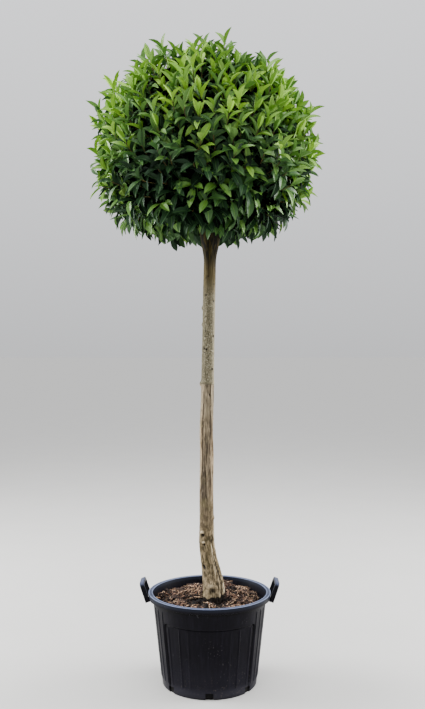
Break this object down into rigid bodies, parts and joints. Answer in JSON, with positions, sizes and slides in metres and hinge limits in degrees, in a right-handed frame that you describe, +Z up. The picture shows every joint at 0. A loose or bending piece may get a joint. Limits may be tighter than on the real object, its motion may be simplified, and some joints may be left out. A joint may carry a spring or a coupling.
{
  "type": "potted standard globe cherry",
  "caption": "Evergreen standard tree: a dense leafy globe on a clear straight stem with a flared foot, in a round black nursery pot with side handles, filled with bark compost.",
  "frame": {"origin": "centre of the pot's flat underside, on the surface that it stands on", "axes": "+Z up along the stem, +X to the right handle and -X to the left handle, -Y towards the front panel"},
  "size_m": [0.7683, 0.7736, 2.2078],
  "materials": {
    "pot_plastic": "matt black moulded plastic, lightly scuffed and dusty",
    "bark_compost": "moist dark bark compost with pale chips",
    "stem_bark": "dull grey-brown bark with upright furrows",
    "bough_bark": "smooth olive-brown young bark",
    "foliage": "glossy leathery green leaves"
  },
  "bodies": {
    "root": {"pot": "pot_plastic", "pot_handle_left": "pot_plastic", "pot_handle_right": "pot_plastic", "soil": "bark_compost", "trunk": "stem_bark", "bough_lower_1": "bough_bark", "bough_lower_2": "bough_bark", "bough_lower_3": "bough_bark", "bough_lower_4": "bough_bark", "bough_lower_5": "bough_bark", "bough_upper_1": "bough_bark", "bough_upper_2": "bough_bark", "bough_upper_3": "bough_bark", "bough_upper_4": "bough_bark", "bough_upper_5": "bough_bark", "bough_top": "bough_bark", "foliage_lower_1": "foliage", "foliage_lower_2": "foliage", "foliage_lower_3": "foliage", "foliage_lower_4": "foliage", "foliage_lower_5": "foliage", "foliage_upper_1": "foliage", "foliage_upper_2": "foliage", "foliage_upper_3": "foliage", "foliage_upper_4": "foliage", "foliage_upper_5": "foliage", "foliage_top": "foliage"}
  },
  "joints": []
}
